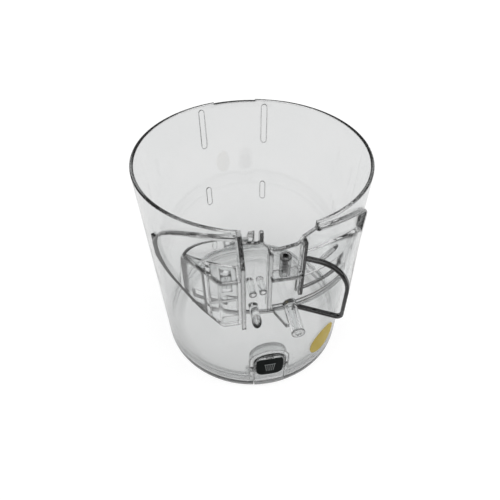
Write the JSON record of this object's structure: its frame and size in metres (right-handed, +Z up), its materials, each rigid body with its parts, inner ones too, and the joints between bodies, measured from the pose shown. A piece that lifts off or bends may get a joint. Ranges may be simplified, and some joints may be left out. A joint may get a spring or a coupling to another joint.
{
  "type": "cyclone dust bin",
  "caption": "Clear tapered cyclone dust bin with a notched rim, a side air scoop, screw bosses, a drop-open base lid with its seal and a press latch with a dark pad.",
  "frame": {"origin": "on the bin's axis at the underside of the base lid", "axes": "+Z up along the bin's axis, -Y towards the latch and the notch, +X towards the air scoop"},
  "size_m": [0.15, 0.1749, 0.161],
  "materials": {
    "clear_plastic": "clear, polished",
    "dark_plastic": "satin black",
    "pin_steel": "drawn wire",
    "pale_rubber": "soft, pale",
    "yellow_label": "plain film sticker"
  },
  "bodies": {
    "tub": {"tub": "clear_plastic", "hinge_pin": "pin_steel", "latch_pin": "pin_steel", "latch_spring": "pin_steel", "paper_dot": "yellow_label"},
    "base_lid": {"base_lid": "clear_plastic", "base_seal": "pale_rubber"},
    "latch": {"latch": "clear_plastic", "latch_pad": "dark_plastic"}
  },
  "joints": [
    {"name": "lid_hinge", "type": "hinge", "parent": "tub", "child": "base_lid", "pos_m": [0, 0.07582, 0.0162], "axis": [1, 0, 0], "range_deg": [0, 100]},
    {"name": "latch_press", "type": "hinge", "parent": "tub", "child": "latch", "pos_m": [0, -0.06867, 0.027], "axis": [-1, 0, 0], "range_deg": [0, 7], "stiffness_Nm_per_rad": 0.05, "springref_deg": -8.59, "deforming": ["latch_spring"]}
  ]
}
